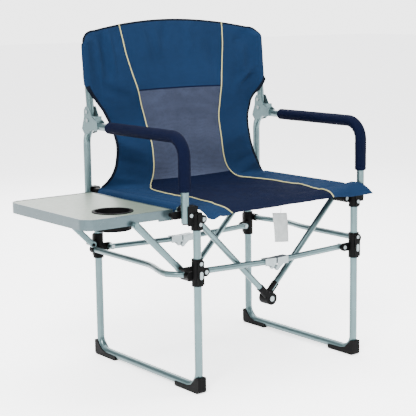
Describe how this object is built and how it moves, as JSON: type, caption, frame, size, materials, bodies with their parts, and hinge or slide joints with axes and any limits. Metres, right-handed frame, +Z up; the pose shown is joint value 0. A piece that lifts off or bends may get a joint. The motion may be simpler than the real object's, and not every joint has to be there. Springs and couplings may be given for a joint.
{
  "type": "folding director chair with side table",
  "caption": "Folding director chair with fabric sling seat and back, padded armrest loops, V-linked tubular side frames and a fold-up side table with a cup well",
  "frame": {"origin": "on the floor, under the middle of the box that bounds the chair and its side table", "axes": "+Z up, the chair's front faces -Y, the side table is on the -X side"},
  "size_m": [0.8166, 0.463, 0.8651],
  "materials": {
    "frame_steel": "satin",
    "black_plastic": "matte",
    "bright_steel": "satin",
    "foam": "matte",
    "cloth": "matte",
    "table_panel": "satin",
    "table_metal": "satin",
    "cup_plastic": "matte"
  },
  "bodies": {
    "left_frame": {"left_leg_frame": "frame_steel", "front_left_foot": "black_plastic", "rear_left_foot": "black_plastic", "left_arm_loop": "frame_steel", "left_arm_pad": "foam", "front_left_seat_bracket": "black_plastic", "rear_left_seat_bracket": "black_plastic", "front_left_mid_bracket": "black_plastic", "rear_left_mid_bracket": "black_plastic", "left_seat_rail": "frame_steel", "left_side_bar": "frame_steel", "left_frame_rivets": "bright_steel", "left_back_bracket": "frame_steel", "left_back_pin": "bright_steel", "seat_sling": "cloth", "waist_sling": "cloth"},
    "right_frame": {"right_leg_frame": "frame_steel", "front_right_foot": "black_plastic", "rear_right_foot": "black_plastic", "right_arm_loop": "frame_steel", "right_arm_pad": "foam", "front_right_seat_bracket": "black_plastic", "rear_right_seat_bracket": "black_plastic", "front_right_mid_bracket": "black_plastic", "rear_right_mid_bracket": "black_plastic", "right_seat_rail": "frame_steel", "right_side_bar": "frame_steel", "right_frame_rivets": "bright_steel", "right_back_bracket": "frame_steel", "right_back_pin": "bright_steel"},
    "front_bar_left": {"front_bar_left": "frame_steel", "front_leaf_left": "bright_steel", "front_hinge_pin": "bright_steel"},
    "front_bar_right": {"front_bar_right": "frame_steel", "front_leaf_right": "bright_steel"},
    "front_link_left": {"front_link_left": "frame_steel", "front_eye_left": "black_plastic", "front_hub_pin": "bright_steel"},
    "front_link_right": {"front_link_right": "frame_steel", "front_eye_right": "black_plastic"},
    "rear_bar_left": {"rear_bar_left": "frame_steel", "rear_leaf_left": "bright_steel", "rear_hinge_pin": "bright_steel"},
    "rear_bar_right": {"rear_bar_right": "frame_steel", "rear_leaf_right": "bright_steel"},
    "rear_link_left": {"rear_link_left": "frame_steel", "rear_eye_left": "black_plastic", "rear_hub_pin": "bright_steel"},
    "rear_link_right": {"rear_link_right": "frame_steel", "rear_eye_right": "black_plastic"},
    "backrest_left": {"left_back_post": "frame_steel", "back_sling": "cloth"},
    "backrest_right": {"right_back_post": "frame_steel"},
    "side_table": {"table_frame": "table_metal", "table_top": "table_panel", "cup_holder": "cup_plastic"},
    "front_strut": {"front_table_strut": "frame_steel"},
    "rear_strut": {"rear_table_strut": "frame_steel"}
  },
  "joints": [
    {"name": "side_fold", "type": "hinge", "parent": "left_frame", "child": "front_bar_left", "pos_m": [-0.10625, -0.196, 0.286], "axis": [0, -1, 0], "range_deg": [0, 82], "deforming": ["seat_sling", "waist_sling", "back_sling"]},
    {"name": "front_bar_centre", "type": "hinge", "parent": "front_bar_left", "child": "front_bar_right", "pos_m": [0.11575, -0.196, 0.2645], "axis": [0, -1, 0], "range_deg": [-164, 0]},
    {"name": "front_bar_right_pivot", "type": "hinge", "parent": "front_bar_right", "child": "right_frame", "pos_m": [0.33775, -0.196, 0.286], "axis": [0, -1, 0], "range_deg": [0, 82]},
    {"name": "rear_bar_left_pivot", "type": "hinge", "parent": "left_frame", "child": "rear_bar_left", "pos_m": [-0.10625, 0.196, 0.286], "axis": [0, -1, 0], "range_deg": [0, 82]},
    {"name": "rear_bar_centre", "type": "hinge", "parent": "rear_bar_left", "child": "rear_bar_right", "pos_m": [0.11575, 0.196, 0.2645], "axis": [0, -1, 0], "range_deg": [-164, 0]},
    {"name": "front_link_pivot", "type": "hinge", "parent": "left_frame", "child": "front_link_left", "pos_m": [-0.11225, -0.178, 0.412], "axis": [0, -1, 0], "range_deg": [-34.4, 0]},
    {"name": "front_hub", "type": "hinge", "parent": "front_link_left", "child": "front_link_right", "pos_m": [0.11575, -0.17, 0.182], "axis": [0, -1, 0], "range_deg": [0, 68.8]},
    {"name": "rear_link_pivot", "type": "hinge", "parent": "left_frame", "child": "rear_link_left", "pos_m": [-0.11225, 0.178, 0.412], "axis": [0, -1, 0], "range_deg": [-34.4, 0]},
    {"name": "rear_hub", "type": "hinge", "parent": "rear_link_left", "child": "rear_link_right", "pos_m": [0.11575, 0.17, 0.182], "axis": [0, -1, 0], "range_deg": [0, 68.8]},
    {"name": "backrest_fold", "type": "hinge", "parent": "left_frame", "child": "backrest_left", "pos_m": [-0.16225, 0.188, 0.64], "axis": [1, 0, 0], "range_deg": [0, 95], "deforming": ["waist_sling"]},
    {"name": "backrest_right_pivot", "type": "hinge", "parent": "right_frame", "child": "backrest_right", "pos_m": [0.39375, 0.188, 0.64], "axis": [1, 0, 0], "range_deg": [0, 95]},
    {"name": "table_fold", "type": "hinge", "parent": "left_frame", "child": "side_table", "pos_m": [-0.18325, 0, 0.426], "axis": [0, 1, 0], "range_deg": [0, 72]},
    {"name": "front_strut_pivot", "type": "hinge", "parent": "left_frame", "child": "front_strut", "pos_m": [-0.16725, -0.187, 0.3], "axis": [0, 1, 0], "range_deg": [0, 31.86]},
    {"name": "rear_strut_pivot", "type": "hinge", "parent": "left_frame", "child": "rear_strut", "pos_m": [-0.16725, 0.187, 0.3], "axis": [0, 1, 0], "range_deg": [0, 31.86]}
  ],
  "couplings": [
    {"joint": "front_bar_centre", "follows": "side_fold", "ratio": -2},
    {"joint": "front_bar_right_pivot", "follows": "side_fold", "ratio": 1},
    {"joint": "rear_bar_left_pivot", "follows": "side_fold", "ratio": 1},
    {"joint": "rear_bar_centre", "follows": "side_fold", "ratio": -2},
    {"joint": "front_link_pivot", "follows": "side_fold", "ratio": -0.4195},
    {"joint": "front_hub", "follows": "side_fold", "ratio": 0.839},
    {"joint": "rear_link_pivot", "follows": "side_fold", "ratio": -0.4195},
    {"joint": "rear_hub", "follows": "side_fold", "ratio": 0.839},
    {"joint": "backrest_right_pivot", "follows": "backrest_fold", "ratio": 1},
    {"joint": "front_strut_pivot", "follows": "table_fold", "ratio": 0.4425},
    {"joint": "rear_strut_pivot", "follows": "table_fold", "ratio": 0.4425}
  ]
}
